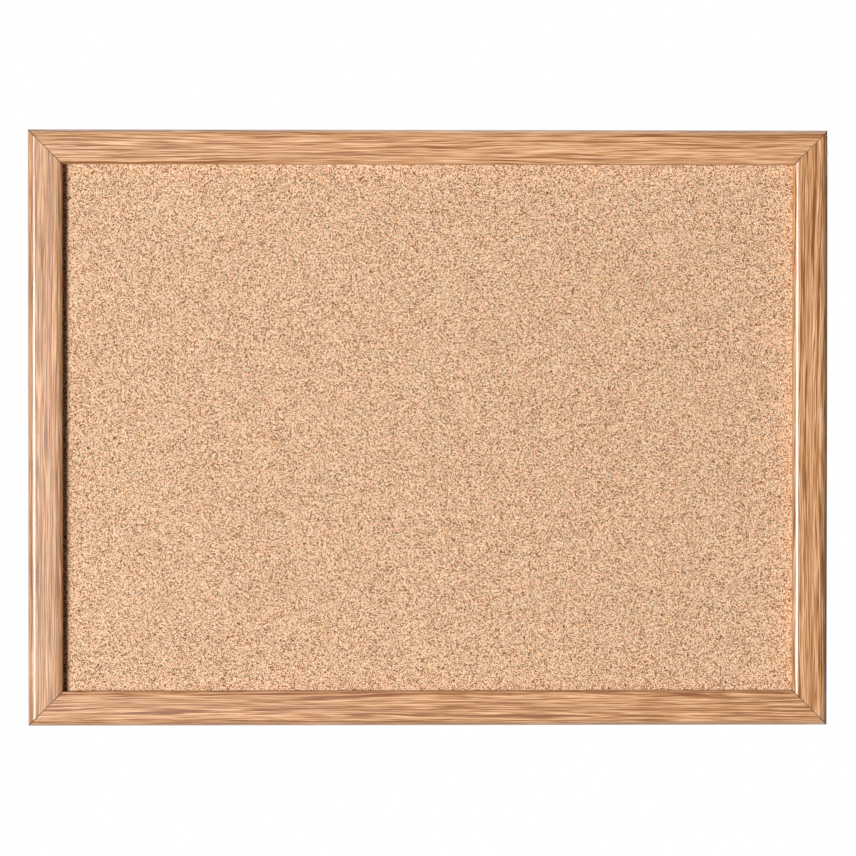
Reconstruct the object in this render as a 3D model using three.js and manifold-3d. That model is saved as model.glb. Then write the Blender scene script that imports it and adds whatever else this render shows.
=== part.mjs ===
// A framed cork pinboard for the wall. Four mitred rails of foil-wrapped fibreboard hold a pinning panel:
// a granulated cork sheet on a softboard core, with a hardboard sheet behind it. V-nails close the mitres,
// flat retaining points hold the panel in its rebate, and two strap hangers with swinging D-rings carry it.
//
// Millimetres. +X is to the right of someone facing the board, +Y points from the room to the wall, +Z is up,
// and left and right are theirs too. The origin is on the wall plane, midway between the two wall hooks,
// at the height where the rings bear on them when they stand straight up.

import * as THREE from "three";
import { mergeVertices } from "three/addons/utils/BufferGeometryUtils.js";
import Module from "manifold-3d";

// Driving dimensions of the board
const boardWidth = 600;
const boardHeight = 447;
const hookDrop = 90;

// Rail section, from the outer side inwards and from the back to the front
const railWidth = 26;
const railDepth = 23;
const lipHeight = 10.7;
const rebateWidth = 9;
const outerRounding = 6;
const innerRounding = 5;
const innerRoundingDrop = 3.4;
const backArris = 0.6;
const mitreGap = 0.3;

// Panel sheets, and the play round them
const corkThickness = 2;
const coreThickness = 5;
const backThickness = 2.5;
const glueFilm = 0.15;
const panelPlay = 1;
const seatGap = 0.3;

// V-nails across the mitres
const nailLeg = 4;
const nailThickness = 0.5;
const nailHeight = 10;
const nailSink = 0.3;
const nailHalfAngle = THREE.MathUtils.degToRad(35);
const nailPlaceShares = [0.3, 0.7];

// Retaining points round the rebate
const pointWidth = 6;
const pointThickness = 0.5;
const pointGrip = 5.4;
const pointReach = 9;
const pointTip = 2;
const pointsAcross = 4;
const pointsDown = 3;
const pointSpreadShare = 0.76;

// Strap hangers: a steel strip folded round the bar of a wire D-ring
const ringWire = 2;
const ringWidth = 13;
const ringHeight = 11;
const ringCorner = 2.2;
const ringEndGap = 0.4;
const strapWidth = 8;
const strapLength = 23;
const strapThickness = 0.8;
const strapFoldGap = 0.3;
const strapSlope = THREE.MathUtils.degToRad(26);
const barPlay = 0.3;

// Hanger screws
const screwShank = 3.5;
const screwLength = 12;
const screwTip = 3;
const screwHead = 7;
const screwHeadHeight = 2;
const screwHeadEdge = 0.6;
const screwCross = 3.8;
const screwCrossWidth = 0.9;
const screwCrossDepth = 1.3;

// Bumpers that keep the lower edge off the wall, by as much as the hangers keep the upper one
const bumperDiameter = 10;
const bumperRounding = 0.8;
const bumperInset = 30;

// How finely the round parts are cut: a shape's arc gets two facets a step
const arcSteps = 4;
const foldSteps = 10;
const wireSteps = 6;
const ringSteps = 34;
const turnSteps = 24;
const edgeSteps = 3;

// What cutters run past the faces they open
const cutOverrun = 1;

// Depths, measured from the frame's back face towards the front
const rebateDepth = railDepth - lipHeight;
const landWidth = railWidth - rebateWidth;
const corkFaceDepth = rebateDepth - seatGap;
const coreFaceDepth = corkFaceDepth - corkThickness - glueFilm;
const backFaceDepth = coreFaceDepth - coreThickness - glueFilm;
const panelRearDepth = backFaceDepth - backThickness;
const pointFrontDepth = panelRearDepth - seatGap;

// The hanger, measured from the frame's back face towards the wall
const wireRadius = ringWire / 2;
const loopInner = wireRadius + barPlay;
const loopOuter = loopInner + strapThickness;
const barHeight = loopOuter + seatGap;
const strapStack = 2 * strapThickness + strapFoldGap;
const barZ = wireRadius - ringHeight;
const screwDrop = strapLength - strapWidth / 2;
const ringLean = Math.asin((barHeight - wireRadius - seatGap) / ringHeight);

// The frame's back stands off the wall by the height of the strap's fold.
const standOff = seatGap + 2 * loopOuter;
const frameBackY = -standOff;
const boardMiddleZ = hookDrop - boardHeight / 2;

const foilOak = new THREE.MeshStandardMaterial({ color: "#d09a6c", roughness: 0.42, metalness: 0 });
const cork = new THREE.MeshStandardMaterial({ color: "#dcb08d", roughness: 0.95, metalness: 0 });
const softboard = new THREE.MeshStandardMaterial({ color: "#c9bda4", roughness: 0.95, metalness: 0 });
const hardboard = new THREE.MeshStandardMaterial({ color: "#7a5233", roughness: 0.75, metalness: 0 });
const zincSteel = new THREE.MeshStandardMaterial({ color: "#b9bcc0", roughness: 0.35, metalness: 1 });
const nickelSteel = new THREE.MeshStandardMaterial({ color: "#c6c3bd", roughness: 0.28, metalness: 1 });
const felt = new THREE.MeshStandardMaterial({ color: "#4a443f", roughness: 1, metalness: 0 });

const wasm = await Module();
wasm.setup();

function toSolid(geometry) {
  const bare = geometry.clone();
  bare.deleteAttribute("normal");
  bare.deleteAttribute("uv");
  const merged = mergeVertices(bare);
  return new wasm.Manifold(
    new wasm.Mesh({
      numProp: 3,
      vertProperties: merged.attributes.position.array,
      triVerts: new Uint32Array(merged.index.array),
    }),
  );
}

function toGeometry(solid) {
  const mesh = solid.getMesh();
  const geometry = new THREE.BufferGeometry();
  geometry.setAttribute("position", new THREE.BufferAttribute(mesh.vertProperties, mesh.numProp));
  geometry.setIndex(new THREE.BufferAttribute(mesh.triVerts, 1));
  geometry.computeVertexNormals();
  return geometry;
}

function addPiece(group, name, geometry, material) {
  const mesh = new THREE.Mesh(geometry, material);
  mesh.name = name;
  group.add(mesh);
  return mesh;
}

// Rails. A rail's own frame has X along it, Y towards the wall from its back face, and Z outwards from
// its outer side, so the wood lies at negative Y and Z.

function railSection() {
  const section = new THREE.Shape();
  section.moveTo(backArris, 0);
  section.lineTo(landWidth, 0);
  section.lineTo(landWidth, rebateDepth);
  section.lineTo(railWidth, rebateDepth);
  section.absellipse(
    railWidth - innerRounding,
    railDepth - innerRoundingDrop,
    innerRounding,
    innerRoundingDrop,
    0,
    Math.PI / 2,
  );
  section.absarc(outerRounding, railDepth - outerRounding, outerRounding, Math.PI / 2, Math.PI);
  section.lineTo(0, backArris);
  section.closePath();
  return section;
}

// The section runs from one mitre to the other: each point stops short of the end by its distance inwards.
function mitredBar(length) {
  const bar = new THREE.ExtrudeGeometry(railSection(), {
    depth: 1,
    bevelEnabled: false,
    curveSegments: arcSteps,
  });
  const points = bar.attributes.position;
  const setback = mitreGap / Math.SQRT2;
  for (let i = 0; i < points.count; i += 1) {
    const inwards = points.getX(i);
    const side = points.getZ(i) > 0 ? -1 : 1;
    points.setXYZ(i, side * (length / 2 - inwards - setback), -points.getY(i), -inwards);
  }
  return bar;
}

// A V-nail's two legs run inwards from its ridge on the mitre. Z is the way in, and it is driven along -Y.
function nailLegs(grow) {
  const thickness = nailThickness + 2 * grow;
  const height = nailHeight + 2 * grow;
  const length = nailLeg + 2 * grow;
  const legs = [-1, 1].map((side) => {
    const leg = new THREE.BoxGeometry(thickness, height, length);
    leg.translate(0, -nailSink - nailHeight / 2, nailLeg / 2);
    leg.rotateY(side * nailHalfAngle);
    return toSolid(leg);
  });
  return legs[0].add(legs[1]);
}

// Where a nail sits on the mitre of a rail's end, with its legs opening inwards.
function nailInRail(solid, length, share, end) {
  const inwards = share * landWidth;
  const placed = toGeometry(solid);
  placed.rotateY(end * (Math.PI + Math.PI / 4));
  placed.translate(end * (length / 2 - inwards), 0, -inwards);
  return toSolid(placed);
}

function nailSlots(length) {
  const slot = nailLegs(seatGap);
  const mouth = toGeometry(slot);
  mouth.translate(0, nailHeight, 0);
  const open = slot.add(toSolid(mouth));
  return [-1, 1].flatMap((end) => nailPlaceShares.map((share) => nailInRail(open, length, share, end)));
}

function pointSlot(along) {
  const slot = new THREE.BoxGeometry(
    pointWidth + 2 * seatGap,
    pointThickness + 2 * seatGap,
    pointGrip + seatGap + cutOverrun,
  );
  slot.translate(
    along,
    -pointFrontDepth + pointThickness / 2,
    -landWidth + (pointGrip + seatGap - cutOverrun) / 2,
  );
  return toSolid(slot);
}

function screwBore(along) {
  const depth = screwLength + seatGap;
  const radius = screwShank / 2 + seatGap;
  const bore = new THREE.CylinderGeometry(radius, radius, depth + cutOverrun, turnSteps);
  bore.translate(along, (cutOverrun - depth) / 2, -landWidth / 2);
  return toSolid(bore);
}

function railGeometry(length, points, screws) {
  let rail = toSolid(mitredBar(length));
  const cuts = [...nailSlots(length), ...points.map(pointSlot), ...screws.map(screwBore)];
  for (const cut of cuts) {
    rail = rail.subtract(cut);
  }
  return toGeometry(rail);
}

// Places along a rail for its retaining points, evenly spaced about its middle.
function pointPlaces(length, count) {
  const spread = pointSpreadShare * length;
  return Array.from({ length: count }, (_, i) => spread * (i / (count - 1) - 1 / 2));
}

function retainingPoint() {
  const outline = new THREE.Shape();
  outline.moveTo(-pointWidth / 2, pointReach);
  outline.lineTo(-pointWidth / 2, pointTip - pointGrip);
  outline.lineTo(0, -pointGrip);
  outline.lineTo(pointWidth / 2, pointTip - pointGrip);
  outline.lineTo(pointWidth / 2, pointReach);
  outline.closePath();
  const plate = new THREE.ExtrudeGeometry(outline, { depth: pointThickness, bevelEnabled: false });
  plate.rotateX(-Math.PI / 2);
  plate.translate(0, -pointFrontDepth, -landWidth);
  return plate;
}

// Each rail is drawn as the top one and turned about Y to its own side of the frame. Its hanger value says
// which way along the rail is up, or zero where it carries no hanger.
const across = { length: boardWidth, reach: boardHeight / 2, points: pointsAcross };
const upright = { length: boardHeight, reach: boardWidth / 2, points: pointsDown };
const sides = [
  { name: "top", turn: 0, hanger: 0, ...across },
  { name: "right", turn: Math.PI / 2, hanger: -1, ...upright },
  { name: "bottom", turn: Math.PI, hanger: 0, ...across },
  { name: "left", turn: -Math.PI / 2, hanger: 1, ...upright },
];

function addRail(frame, side) {
  const rail = new THREE.Group();
  rail.rotation.y = side.turn;
  rail.position.set(Math.sin(side.turn) * side.reach, 0, Math.cos(side.turn) * side.reach);
  frame.add(rail);
  const places = pointPlaces(side.length, side.points);
  const screwZ = barZ - screwDrop - boardMiddleZ;
  const screws = side.hanger === 0 ? [] : [side.hanger * screwZ];
  addPiece(rail, `${side.name}_rail`, railGeometry(side.length, places, screws), foilOak);
  places.forEach((along, i) => {
    const point = addPiece(rail, `${side.name}_retaining_point_${i + 1}`, retainingPoint(), zincSteel);
    point.position.x = along;
  });
}

// Corner nails, named by their corner and by how far in they sit.
function addCornerNails(frame) {
  const layers = ["outer", "inner"];
  for (const right of [-1, 1]) {
    for (const up of [-1, 1]) {
      nailPlaceShares.forEach((share, i) => {
        const inwards = share * landWidth;
        const corner = `${up > 0 ? "top" : "bottom"}_${right > 0 ? "right" : "left"}`;
        const name = `${corner}_${layers[i]}_corner_nail`;
        const nail = addPiece(frame, name, toGeometry(nailLegs(0)), zincSteel);
        nail.position.set(right * (boardWidth / 2 - inwards), 0, up * (boardHeight / 2 - inwards));
        nail.rotation.y = Math.atan2(-right, -up);
      });
    }
  }
}

// The panel: cork to the front, softboard to pin into, hardboard to close the back.
function addPanel(frame) {
  const width = boardWidth - 2 * (landWidth + panelPlay);
  const height = boardHeight - 2 * (landWidth + panelPlay);
  const sheets = [
    { name: "cork_sheet", thickness: corkThickness, face: corkFaceDepth, material: cork },
    { name: "softboard_core", thickness: coreThickness, face: coreFaceDepth, material: softboard },
    { name: "hardboard_back", thickness: backThickness, face: backFaceDepth, material: hardboard },
  ];
  for (const sheet of sheets) {
    const slab = new THREE.BoxGeometry(width, sheet.thickness, height);
    const mesh = addPiece(frame, sheet.name, slab, sheet.material);
    mesh.position.y = sheet.thickness / 2 - sheet.face;
  }
}

// Hangers. A hanger's own frame has its origin on the frame's back face, behind the ring's bar.

// The folded strip in side view: along the frame, round the bar, down the slope, and along its own back leg.
function strapSection() {
  const across = Math.sin(strapSlope);
  const along = Math.cos(strapSlope);
  const run = (from, to) => (from - to) / Math.tan(strapSlope);
  const pinchHeight = strapThickness + strapFoldGap;
  const outerTop = loopOuter + along * loopOuter;
  const innerTop = loopOuter + along * loopInner;
  const outerPinch = -across * loopOuter - run(outerTop, strapStack);
  const innerPinch = -across * loopInner - run(innerTop, pinchHeight);
  const section = new THREE.Shape();
  section.moveTo(-strapLength, strapThickness);
  section.lineTo(-strapLength, 0);
  section.absarc(0, loopOuter, loopOuter, -Math.PI / 2, Math.PI / 2 + strapSlope);
  section.lineTo(outerPinch, strapStack);
  section.lineTo(-strapLength, strapStack);
  section.lineTo(-strapLength, pinchHeight);
  section.lineTo(innerPinch, pinchHeight);
  section.absarc(0, loopOuter, loopInner, Math.PI / 2 + strapSlope, -Math.PI / 2, true);
  section.closePath();
  return section;
}

// Looked at from the wall, the strip ends in a half round below the screw.
function strapOutline() {
  const radius = strapWidth / 2;
  const outline = new THREE.Shape();
  outline.moveTo(radius, loopOuter + cutOverrun);
  outline.lineTo(-radius, loopOuter + cutOverrun);
  outline.lineTo(-radius, radius - strapLength);
  outline.absarc(0, radius - strapLength, radius, Math.PI, 2 * Math.PI);
  outline.closePath();
  return outline;
}

function hangerStrap() {
  const strip = new THREE.ExtrudeGeometry(strapSection(), {
    depth: strapWidth,
    bevelEnabled: false,
    curveSegments: foldSteps,
  });
  strip.translate(0, 0, -strapWidth / 2);
  strip.rotateY(-Math.PI / 2);
  const trim = new THREE.ExtrudeGeometry(strapOutline(), {
    depth: 2 * (loopOuter + cutOverrun),
    bevelEnabled: false,
    curveSegments: foldSteps,
  });
  trim.rotateX(Math.PI / 2);
  trim.translate(0, 2 * loopOuter + cutOverrun, 0);
  const radius = screwShank / 2 + seatGap;
  const hole = new THREE.CylinderGeometry(radius, radius, 2 * (strapStack + cutOverrun), turnSteps);
  hole.translate(0, 0, -screwDrop);
  return toGeometry(toSolid(strip).intersect(toSolid(trim)).subtract(toSolid(hole)));
}

// The ring's centre line, in its own plane: the bar lies along X, and its ends meet in the strap's fold.
class RingLine extends THREE.Curve {
  constructor() {
    super();
    const side = ringWidth / 2;
    const shoulder = ringHeight - side;
    this.path = new THREE.Path();
    this.path.moveTo(ringEndGap / 2, 0);
    this.path.lineTo(side - ringCorner, 0);
    this.path.absarc(side - ringCorner, ringCorner, ringCorner, -Math.PI / 2, 0);
    this.path.lineTo(side, shoulder);
    this.path.absarc(0, shoulder, side, 0, Math.PI);
    this.path.lineTo(-side, ringCorner);
    this.path.absarc(ringCorner - side, ringCorner, ringCorner, Math.PI, (3 * Math.PI) / 2);
    this.path.lineTo(-ringEndGap / 2, 0);
  }

  getPoint(share, target = new THREE.Vector3()) {
    const flat = this.path.getPointAt(share);
    return target.set(flat.x, 0, flat.y);
  }
}

function hangerRing() {
  const wire = new THREE.Shape();
  wire.absarc(0, 0, wireRadius, 0, 2 * Math.PI);
  return new THREE.ExtrudeGeometry(wire, {
    extrudePath: new RingLine(),
    steps: ringSteps,
    curveSegments: wireSteps,
    bevelEnabled: false,
  });
}

// A pan-head screw with its axis on Y: the head's flat underside is at zero, and the tip points to -Y.
function hangerScrew() {
  const under = screwLength + strapStack + seatGap;
  const shank = screwShank / 2;
  const head = screwHead / 2;
  const crown = screwHeadHeight - screwHeadEdge;
  const profile = [
    new THREE.Vector2(0, -under),
    new THREE.Vector2(shank, screwTip - under),
    new THREE.Vector2(shank, 0),
    new THREE.Vector2(head, 0),
  ];
  for (let i = 0; i <= edgeSteps; i += 1) {
    const angle = (Math.PI / 2) * (i / edgeSteps);
    profile.push(new THREE.Vector2(head * Math.cos(angle), screwHeadEdge + crown * Math.sin(angle)));
  }
  profile[profile.length - 1].x = 0;
  return toGeometry(toSolid(new THREE.LatheGeometry(profile, turnSteps)).subtract(crossRecess()));
}

function crossRecess() {
  const depth = screwCrossDepth + cutOverrun;
  const arm = new THREE.BoxGeometry(screwCross, depth, screwCrossWidth);
  arm.translate(0, screwHeadHeight + (cutOverrun - screwCrossDepth) / 2, 0);
  const other = arm.clone();
  other.rotateY(Math.PI / 2);
  return toSolid(arm).add(toSolid(other));
}

function addHanger(root, name, right) {
  const hanger = new THREE.Group();
  hanger.position.set(right * (boardWidth / 2 - landWidth / 2), frameBackY, barZ);
  root.add(hanger);
  const strap = addPiece(hanger, `${name}_hanger_strap`, hangerStrap(), nickelSteel);
  strap.position.y = seatGap;
  const ring = addPiece(hanger, `${name}_hanger_ring`, hangerRing(), nickelSteel);
  ring.position.y = barHeight;
  ring.rotation.x = ringLean;
  const screw = addPiece(hanger, `${name}_hanger_screw`, hangerScrew(), nickelSteel);
  screw.position.set(0, strapStack + 2 * seatGap, -screwDrop);
}

// A felt bumper turned about Y, with its flat foot on the wall plane at zero and its back on the frame.
function bumperGeometry() {
  const radius = bumperDiameter / 2;
  const seat = glueFilm - standOff;
  const profile = [new THREE.Vector2(0, seat), new THREE.Vector2(radius, seat)];
  for (let i = 0; i <= edgeSteps; i += 1) {
    const angle = (Math.PI / 2) * (i / edgeSteps);
    const across = radius - bumperRounding + bumperRounding * Math.cos(angle);
    profile.push(new THREE.Vector2(across, bumperRounding * (Math.sin(angle) - 1)));
  }
  profile.push(new THREE.Vector2(0, 0));
  return new THREE.LatheGeometry(profile, turnSteps);
}

function addBumper(root, name, right) {
  const bumper = addPiece(root, `${name}_bumper`, bumperGeometry(), felt);
  bumper.position.x = right * (boardWidth / 2 - bumperInset);
  bumper.position.z = hookDrop - boardHeight + landWidth / 2;
}

const pinboard = new THREE.Group();
const frame = new THREE.Group();
frame.position.set(0, frameBackY, boardMiddleZ);
pinboard.add(frame);
for (const side of sides) {
  addRail(frame, side);
}
addCornerNails(frame);
addPanel(frame);
addHanger(pinboard, "left", -1);
addHanger(pinboard, "right", 1);
addBumper(pinboard, "left", -1);
addBumper(pinboard, "right", 1);

export default pinboard;
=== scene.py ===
# %% [markdown]
# # A framed cork pinboard
#
# This lesson dresses a packed pinboard: four mitred lengths of oak-look moulding round a recessed
# sheet of cork, with softboard and hardboard behind it, and two strap hangers on the back. The
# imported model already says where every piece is, so each mesh here is built straight onto its
# place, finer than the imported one, and then takes that piece's part in the picture.
#
# Lengths are in metres. +X is to the right of someone facing the board, +Y points into the wall,
# and +Z is up.

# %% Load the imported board
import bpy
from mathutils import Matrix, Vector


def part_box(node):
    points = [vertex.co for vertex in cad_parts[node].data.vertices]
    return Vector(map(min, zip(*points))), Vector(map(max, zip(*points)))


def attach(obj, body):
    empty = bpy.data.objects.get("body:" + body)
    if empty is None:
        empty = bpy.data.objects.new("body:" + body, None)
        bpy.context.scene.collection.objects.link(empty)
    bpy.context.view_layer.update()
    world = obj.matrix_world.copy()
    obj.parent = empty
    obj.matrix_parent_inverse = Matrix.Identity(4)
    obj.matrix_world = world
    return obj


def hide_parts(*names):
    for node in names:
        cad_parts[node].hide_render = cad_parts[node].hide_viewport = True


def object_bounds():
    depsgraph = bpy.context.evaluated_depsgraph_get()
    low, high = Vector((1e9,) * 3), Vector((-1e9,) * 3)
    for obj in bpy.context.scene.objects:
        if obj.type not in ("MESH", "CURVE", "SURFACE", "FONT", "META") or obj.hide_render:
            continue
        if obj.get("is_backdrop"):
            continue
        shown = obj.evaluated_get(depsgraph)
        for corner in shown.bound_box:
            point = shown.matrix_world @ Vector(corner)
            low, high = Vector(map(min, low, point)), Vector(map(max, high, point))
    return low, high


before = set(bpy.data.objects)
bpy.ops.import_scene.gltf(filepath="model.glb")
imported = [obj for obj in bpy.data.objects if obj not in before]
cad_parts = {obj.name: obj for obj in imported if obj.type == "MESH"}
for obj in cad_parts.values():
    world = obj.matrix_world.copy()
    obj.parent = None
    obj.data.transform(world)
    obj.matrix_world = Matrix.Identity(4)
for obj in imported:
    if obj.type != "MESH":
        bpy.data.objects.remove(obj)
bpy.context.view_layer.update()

# %% Tools of the lesson
import math

import bmesh
import bpy
import numpy as np
from mathutils import Matrix, Vector, noise

MM = 0.001

# %% [markdown]
# ## Sizes
#
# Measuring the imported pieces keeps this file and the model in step. A piece's box gives its outer
# sizes, and only what a box can't tell, such as a rounding, is written here as a number. The rails'
# rebate takes the panel, and the land beside it takes the nails, the points and the hangers.

# %% Read the board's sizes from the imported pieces
frame_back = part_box("top_rail")[1].y
frame_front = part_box("top_rail")[0].y
board_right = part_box("right_rail")[1].x
board_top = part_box("top_rail")[1].z
board_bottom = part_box("bottom_rail")[0].z
board_width = 2 * board_right
board_height = board_top - board_bottom
board_middle = (board_top + board_bottom) / 2
rail_width = board_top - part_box("top_rail")[0].z
rail_depth = frame_back - frame_front
REBATE_WIDTH = 9 * MM
land = rail_width - REBATE_WIDTH
print(f"Board {board_width / MM:.0f} by {board_height / MM:.0f} mm.")
print(f"Rails {rail_width / MM:.0f} by {rail_depth / MM:.0f} mm with a land of {land / MM:.0f} mm.")

# %% [markdown]
# ## Camera
#
# A pinboard is photographed square on with a long lens, so that its edges stay parallel. The camera
# stands three metres off, a hand's width left of the middle and a little above it, and turns back
# towards the board by about a degree each way, which gives the outline its very slight taper.

# %% Set up the camera
CAMERA_PLACE = Vector((-0.0597, -3.0, -0.0828))
CAMERA_TURN = math.radians(1.142)
CAMERA_TIP = math.radians(-0.976)
CAMERA_ROLL = math.radians(0.029)
CAMERA_LENS = 166.94

camera = bpy.data.objects.new("camera", bpy.data.cameras.new("camera"))
camera.data.lens = CAMERA_LENS
camera.matrix_world = (
    Matrix.Translation(CAMERA_PLACE)
    @ Matrix.Rotation(-CAMERA_TURN, 4, "Z")
    @ Matrix.Rotation(math.radians(90) + CAMERA_TIP, 4, "X")
    @ Matrix.Rotation(CAMERA_ROLL, 4, "Z")
)
bpy.context.scene.collection.objects.link(camera)
bpy.context.scene.camera = camera
print(f"The camera is {-CAMERA_PLACE.y:.1f} m from the wall with a {CAMERA_LENS:.0f} mm lens.")

# %% [markdown]
# ## Lights
#
# One large softbox far to the left does most of the work: it throws the narrow shadow of the left
# rail onto the cork and draws a bright line down each rounding that faces it. A strip above and a
# little behind the board lifts the upper edge, and a softbox behind its right side lights the back
# and that side. Each lamp's power is worked out from the light that it should bring to the board,
# so that a colour renders about as it is written.

# %% Hang the lamps
board_centre = Vector((0, frame_front, board_middle))


def softbox(name, azimuth, elevation, distance, width, height, share):
    """A rectangular lamp that brings that share of plain light to a surface facing it."""
    side, rise = math.radians(azimuth), math.radians(elevation)
    away = Vector((math.sin(side) * math.cos(rise), -math.cos(side) * math.cos(rise), math.sin(rise)))
    lamp = bpy.data.lights.new(name, "AREA")
    lamp.shape = "RECTANGLE"
    lamp.size = width
    lamp.size_y = height
    lamp.energy = share * math.pi * math.pi * distance * distance
    holder = bpy.data.objects.new(name, lamp)
    holder.location = board_centre + away * distance
    holder.rotation_mode = "QUATERNION"
    holder.rotation_quaternion = away.to_track_quat("Z", "Y")
    bpy.context.scene.collection.objects.link(holder)


softbox("key_softbox", azimuth=-27, elevation=-1.6, distance=7.0, width=2.1, height=1.15, share=1.20)
softbox("top_strip", azimuth=0, elevation=106, distance=2.0, width=2.4, height=0.8, share=0.24)
softbox("back_softbox", azimuth=150, elevation=18, distance=2.6, width=0.9, height=0.9, share=0.95)
print("Lamps:", sorted(light.name for light in bpy.data.lights))

# %% [markdown]
# ## Surroundings
#
# The picture has a pure white ground. The world is white where the camera, a reflection or a view
# through glass meets it, and it gives only a little light to matt surfaces, so shadows stay deep.
# The room in front of the board is a dim studio, and the metal and the lacquer mirror that too:
# seen from the board, everything on the camera's side is grey, and everything behind or overhead is
# white and fades towards the right.

# %% Make the node helpers that every material uses
def feed(tree, socket, value):
    """Fills a socket with a value, or links another node's output to it."""
    if isinstance(value, bpy.types.NodeSocket):
        tree.links.new(value, socket)
    else:
        socket.default_value = value


def place_node(tree, kind, inputs=None, **options):
    """Adds a node, sets its options and feeds its inputs, which are named or numbered."""
    made = tree.nodes.new("ShaderNode" + kind)
    for option, value in options.items():
        setattr(made, option, value)
    for socket, value in (inputs or {}).items():
        feed(tree, made.inputs[socket], value)
    return made


def maths(tree, operation, *values, clamp=False):
    inputs = dict(enumerate(values))
    return place_node(tree, "Math", inputs, operation=operation, use_clamp=clamp).outputs[0]


def rescale(tree, value, low, high, to_low=0.0, to_high=1.0):
    """Carries a value from one range to another, clamped at the ends."""
    inputs = {0: value, 1: low, 2: high, 3: to_low, 4: to_high}
    return place_node(tree, "MapRange", inputs).outputs[0]


def blend(tree, share, first, second):
    """Mixes two colours."""
    return place_node(tree, "Mix", {0: share, 6: first, 7: second}, data_type="RGBA").outputs[2]


def tint(tree, base, mask, most, shade):
    """Lays a colour over a base where a mask is high, and covers at most that share of it."""
    return blend(tree, maths(tree, "MULTIPLY", mask, most), base, shade)


def swing(tree, value, reach, middle):
    """How far a value lies from a half, times a reach, added to a middle value."""
    return maths(tree, "MULTIPLY_ADD", maths(tree, "SUBTRACT", value, 0.5), reach, middle)


def colour(red, green, blue):
    return (red, green, blue, 1.0)


def colour_steps(tree, value, steps):
    """A colour for each value between 0 and 1, from a list of (value, colour)."""
    ramp = place_node(tree, "ValToRGB", {0: value})
    band = ramp.color_ramp
    while len(band.elements) < len(steps):
        band.elements.new(1.0)
    for element, (place, shade) in zip(band.elements, steps):
        element.position = place
        element.color = shade
    return ramp.outputs[0]


# %% Paint the world
ROOM_GREY = 0.12
DIFFUSE_LIGHT = 0.01
BEHIND_FADE = (-0.05, 0.25)
OVERHEAD_FADE = (0.30, 0.70)
RIGHT_FADE = (0.15, 0.55, 1.0, 0.1)

world = bpy.data.worlds.new("studio")
bpy.context.scene.world = world
world.use_nodes = True
sky = world.node_tree
sky.nodes.clear()
path = place_node(sky, "LightPath")
looking = place_node(sky, "TexCoord").outputs["Generated"]
across, depthwise, upwards = place_node(sky, "SeparateXYZ", {0: looking}).outputs
behind = rescale(sky, depthwise, *BEHIND_FADE)
mirrored = maths(sky, "MAXIMUM", behind, rescale(sky, upwards, *OVERHEAD_FADE))
mirrored = maths(sky, "MULTIPLY", mirrored, rescale(sky, across, *RIGHT_FADE))
mirrored = rescale(sky, mirrored, 0.0, 1.0, ROOM_GREY, 1.0)
seen = maths(sky, "MAXIMUM", path.outputs["Is Camera Ray"], path.outputs["Is Transmission Ray"])
extra = maths(sky, "SUBTRACT", mirrored, DIFFUSE_LIGHT)
strength = maths(sky, "MULTIPLY_ADD", path.outputs["Is Glossy Ray"], extra, DIFFUSE_LIGHT)
strength = maths(sky, "MAXIMUM", strength, seen)
background = place_node(sky, "Background", {"Color": colour(1, 1, 1), "Strength": strength})
place_node(sky, "OutputWorld", {"Surface": background.outputs[0]})
bpy.context.scene.view_settings.view_transform = "Standard"
print("World strength for matt surfaces:", DIFFUSE_LIGHT)

# %% Lay the floor
FLOOR_DROP = 0.35
FLOOR_REACH = (4.0, -2.6, 1.7)
FLOOR_GREY = 0.13
FLOOR_WHITE = 0.985

floor_mesh = bpy.data.meshes.new("floor")
floor_z = board_bottom - FLOOR_DROP
side_reach, near_reach, far_reach = FLOOR_REACH
floor_corners = [
    (-side_reach, near_reach, floor_z),
    (side_reach, near_reach, floor_z),
    (side_reach, far_reach, floor_z),
    (-side_reach, far_reach, floor_z),
]
floor_mesh.from_pydata(floor_corners, [], [(0, 1, 2, 3)])
floor = bpy.data.objects.new("floor", floor_mesh)
bpy.context.scene.collection.objects.link(floor)

floor_paint = bpy.data.materials.new("white studio floor")
floor_paint.use_nodes = True
tree = floor_paint.node_tree
tree.nodes.clear()
path = place_node(tree, "LightPath")
seen = maths(tree, "MAXIMUM", path.outputs["Is Camera Ray"], path.outputs["Is Glossy Ray"])
seen = maths(tree, "MAXIMUM", seen, path.outputs["Is Transmission Ray"])
matt = place_node(tree, "BsdfDiffuse", {"Color": colour(FLOOR_GREY, FLOOR_GREY, FLOOR_GREY)})
glow = maths(tree, "MULTIPLY", seen, FLOOR_WHITE)
lift = place_node(tree, "Emission", {"Color": colour(1, 1, 1), "Strength": glow})
both = place_node(tree, "AddShader", {0: matt.outputs[0], 1: lift.outputs[0]})
place_node(tree, "OutputMaterial", {"Surface": both.outputs[0]})
floor.data.materials.append(floor_paint)
floor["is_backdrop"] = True
print(f"The floor is {FLOOR_DROP:.2f} m below the board.")

# %% [markdown]
# ## Effects shared by the finishes
#
# Several finishes need the same kinds of variation, so each kind is made once as a node group with
# its own inputs: long streaks for grain and drawn metal, granules for the two sizes in the cork,
# fibres for the boards and the felt, rubbed edges, and the soft smudges that handling leaves. A
# group only puts out values, and each material decides what they colour, roughen or raise.

# %% Start a node group
def start_group(name, inputs, outputs):
    """An empty group, with its inputs as (name, kind, value) and its outputs as (name, kind)."""
    group = bpy.data.node_groups.new(name, "ShaderNodeTree")
    for label, kind, value in inputs:
        socket = group.interface.new_socket(label, in_out="INPUT", socket_type="NodeSocket" + kind)
        if value is not None:
            socket.default_value = value
    for label, kind in outputs:
        group.interface.new_socket(label, in_out="OUTPUT", socket_type="NodeSocket" + kind)
    taken = group.nodes.new("NodeGroupInput").outputs
    given = group.nodes.new("NodeGroupOutput").inputs
    return group, taken, given


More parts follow.
